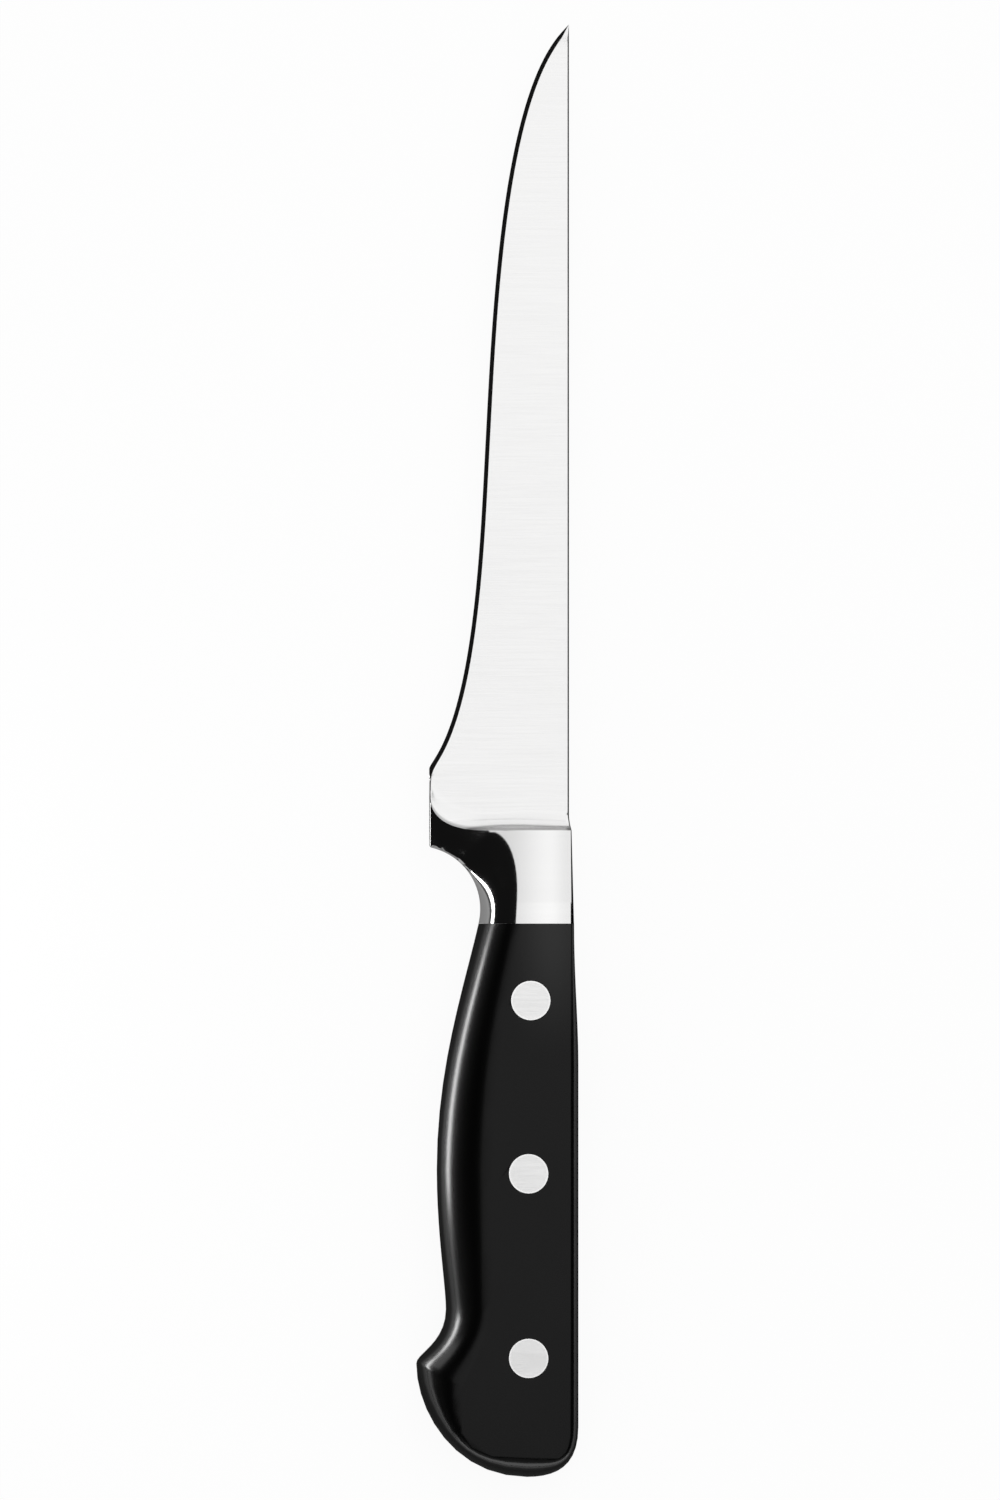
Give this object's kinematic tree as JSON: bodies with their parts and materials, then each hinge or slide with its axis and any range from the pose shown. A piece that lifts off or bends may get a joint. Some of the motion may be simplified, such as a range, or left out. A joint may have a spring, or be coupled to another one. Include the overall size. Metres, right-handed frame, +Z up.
{
  "type": "boning knife",
  "caption": "Forged boning knife lying on its side: narrow curved blade, full bolster with finger hollow, full tang, riveted black scales with a beaked butt.",
  "frame": {"origin": "on the resting plane, under the middle of the knife's length and width as it lies on its side", "axes": "+Y along the knife towards the tip, +X towards the spine, +Z up out of the visible side"},
  "size_m": [0.0302, 0.2704, 0.014],
  "materials": {
    "blade_steel": "satin ground blade, polished bolster and bevel",
    "handle_plastic": "smooth black, soft sheen",
    "rivet_steel": "finely brushed"
  },
  "bodies": {
    "root": {"forged_blade": "blade_steel", "upper_scale": "handle_plastic", "lower_scale": "handle_plastic", "front_rivet_socket": "rivet_steel", "front_rivet_pin": "rivet_steel", "middle_rivet_socket": "rivet_steel", "middle_rivet_pin": "rivet_steel", "rear_rivet_socket": "rivet_steel", "rear_rivet_pin": "rivet_steel"}
  },
  "joints": []
}
